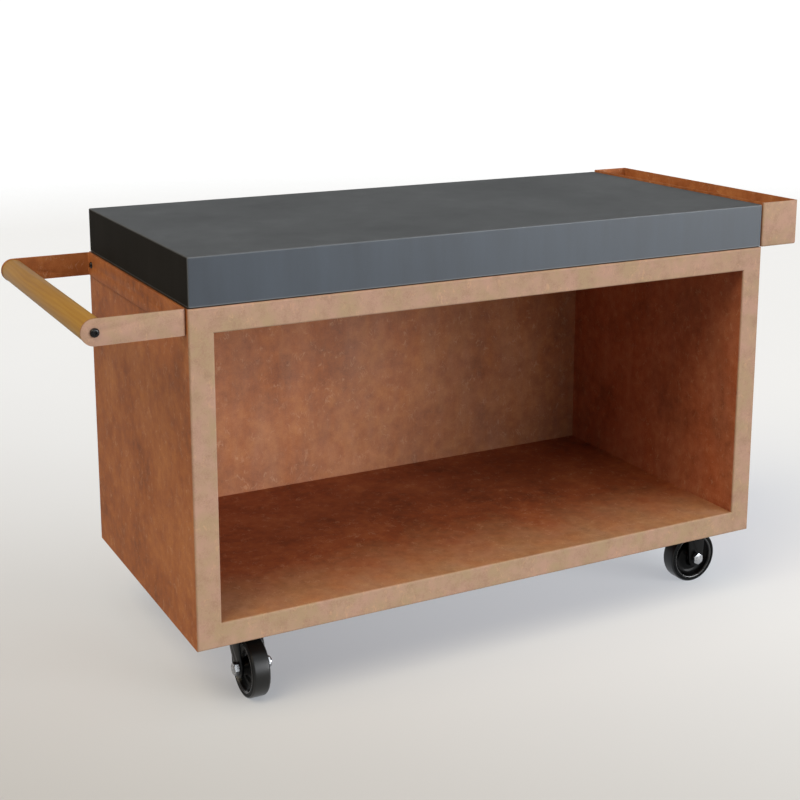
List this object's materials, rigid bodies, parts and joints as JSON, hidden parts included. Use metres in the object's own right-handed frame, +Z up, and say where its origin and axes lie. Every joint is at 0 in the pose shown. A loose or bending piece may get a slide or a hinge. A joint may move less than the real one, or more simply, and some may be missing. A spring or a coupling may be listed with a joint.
{
  "type": "prep table",
  "caption": "Wheeled outdoor prep table: open-front hollow-walled steel cabinet, thick mitred worktop, end planter trough, U-shaped push handle with wooden bar, swivel and fixed casters.",
  "frame": {"origin": "on the floor, under the middle of the overall length and depth", "axes": "+X along the length from the handle to the planter, +Y from the open front to the back, +Z up"},
  "size_m": [1.645, 0.65, 0.925],
  "materials": {
    "weathering_steel": "matt rust patina, lightly mottled",
    "worktop_ceramic": "honed, dark grey, faint clouding",
    "galvanised_steel": "dull zinc",
    "bright_zinc": "bright zinc plate",
    "black_screw": "black oxide, satin",
    "handle_wood": "oiled, fine lengthwise grain",
    "caster_black": "black powder coat, satin",
    "hub_black": "moulded black plastic",
    "tyre_rubber": "dark rubber, dull sheen",
    "bearing_steel": "polished balls"
  },
  "bodies": {
    "cabinet": {"back_left_caster_plate": "caster_black", "back_left_kingpin": "galvanised_steel", "back_right_axle_bolt": "bright_zinc", "back_right_axle_nut": "bright_zinc", "back_right_axle_sleeve": "galvanised_steel", "back_right_fork": "caster_black", "cabinet_back_panel": "weathering_steel", "cabinet_bottom_wall": "weathering_steel", "cabinet_left_wall": "weathering_steel", "cabinet_right_wall": "weathering_steel", "cabinet_top_wall": "weathering_steel", "caster_backing_plates": "galvanised_steel", "caster_plate_bolts": "bright_zinc", "caster_plate_nuts": "bright_zinc", "floor_stiffeners": "galvanised_steel", "front_left_caster_plate": "caster_black", "front_left_kingpin": "galvanised_steel", "front_right_axle_bolt": "bright_zinc", "front_right_axle_nut": "bright_zinc", "front_right_axle_sleeve": "galvanised_steel", "front_right_fork": "caster_black", "handle_bar": "handle_wood", "handle_bar_inserts": "bright_zinc", "handle_bar_screws": "black_screw", "handle_bolts": "black_screw", "handle_bracket": "weathering_steel", "handle_nuts": "bright_zinc", "planter_bolts": "black_screw", "planter_nuts": "bright_zinc", "planter_spacers": "galvanised_steel", "planter_trough": "weathering_steel", "roof_stiffeners": "galvanised_steel", "worktop_back_apron": "worktop_ceramic", "worktop_bolts": "bright_zinc", "worktop_frame": "galvanised_steel", "worktop_front_apron": "worktop_ceramic", "worktop_left_apron": "worktop_ceramic", "worktop_nuts": "bright_zinc", "worktop_panel": "worktop_ceramic", "worktop_right_apron": "worktop_ceramic"},
    "front_left_yoke": {"front_left_axle_bolt": "bright_zinc", "front_left_axle_nut": "bright_zinc", "front_left_axle_sleeve": "galvanised_steel", "front_left_bearing_balls": "bearing_steel", "front_left_fork": "caster_black"},
    "back_left_yoke": {"back_left_axle_bolt": "bright_zinc", "back_left_axle_nut": "bright_zinc", "back_left_axle_sleeve": "galvanised_steel", "back_left_bearing_balls": "bearing_steel", "back_left_fork": "caster_black"},
    "front_left_wheel": {"front_left_tyre": "tyre_rubber", "front_left_wheel_hub": "hub_black"},
    "back_left_wheel": {"back_left_tyre": "tyre_rubber", "back_left_wheel_hub": "hub_black"},
    "front_right_wheel": {"front_right_tyre": "tyre_rubber", "front_right_wheel_hub": "hub_black"},
    "back_right_wheel": {"back_right_tyre": "tyre_rubber", "back_right_wheel_hub": "hub_black"}
  },
  "joints": [
    {"name": "front_left_swivel", "type": "hinge", "parent": "cabinet", "child": "front_left_yoke", "pos_m": [-0.4905, -0.207, 0.1465], "axis": [0, 0, 1], "continuous": true},
    {"name": "front_left_roll", "type": "hinge", "parent": "front_left_yoke", "child": "front_left_wheel", "pos_m": [-0.4905, -0.247, 0.0625], "axis": [1, 0, 0], "continuous": true},
    {"name": "back_left_swivel", "type": "hinge", "parent": "cabinet", "child": "back_left_yoke", "pos_m": [-0.4905, 0.207, 0.1465], "axis": [0, 0, 1], "continuous": true},
    {"name": "back_left_roll", "type": "hinge", "parent": "back_left_yoke", "child": "back_left_wheel", "pos_m": [-0.4905, 0.167, 0.0625], "axis": [1, 0, 0], "continuous": true},
    {"name": "front_right_roll", "type": "hinge", "parent": "cabinet", "child": "front_right_wheel", "pos_m": [0.6525, -0.203, 0.0625], "axis": [0, 1, 0], "continuous": true},
    {"name": "back_right_roll", "type": "hinge", "parent": "cabinet", "child": "back_right_wheel", "pos_m": [0.6525, 0.203, 0.0625], "axis": [0, 1, 0], "continuous": true}
  ]
}
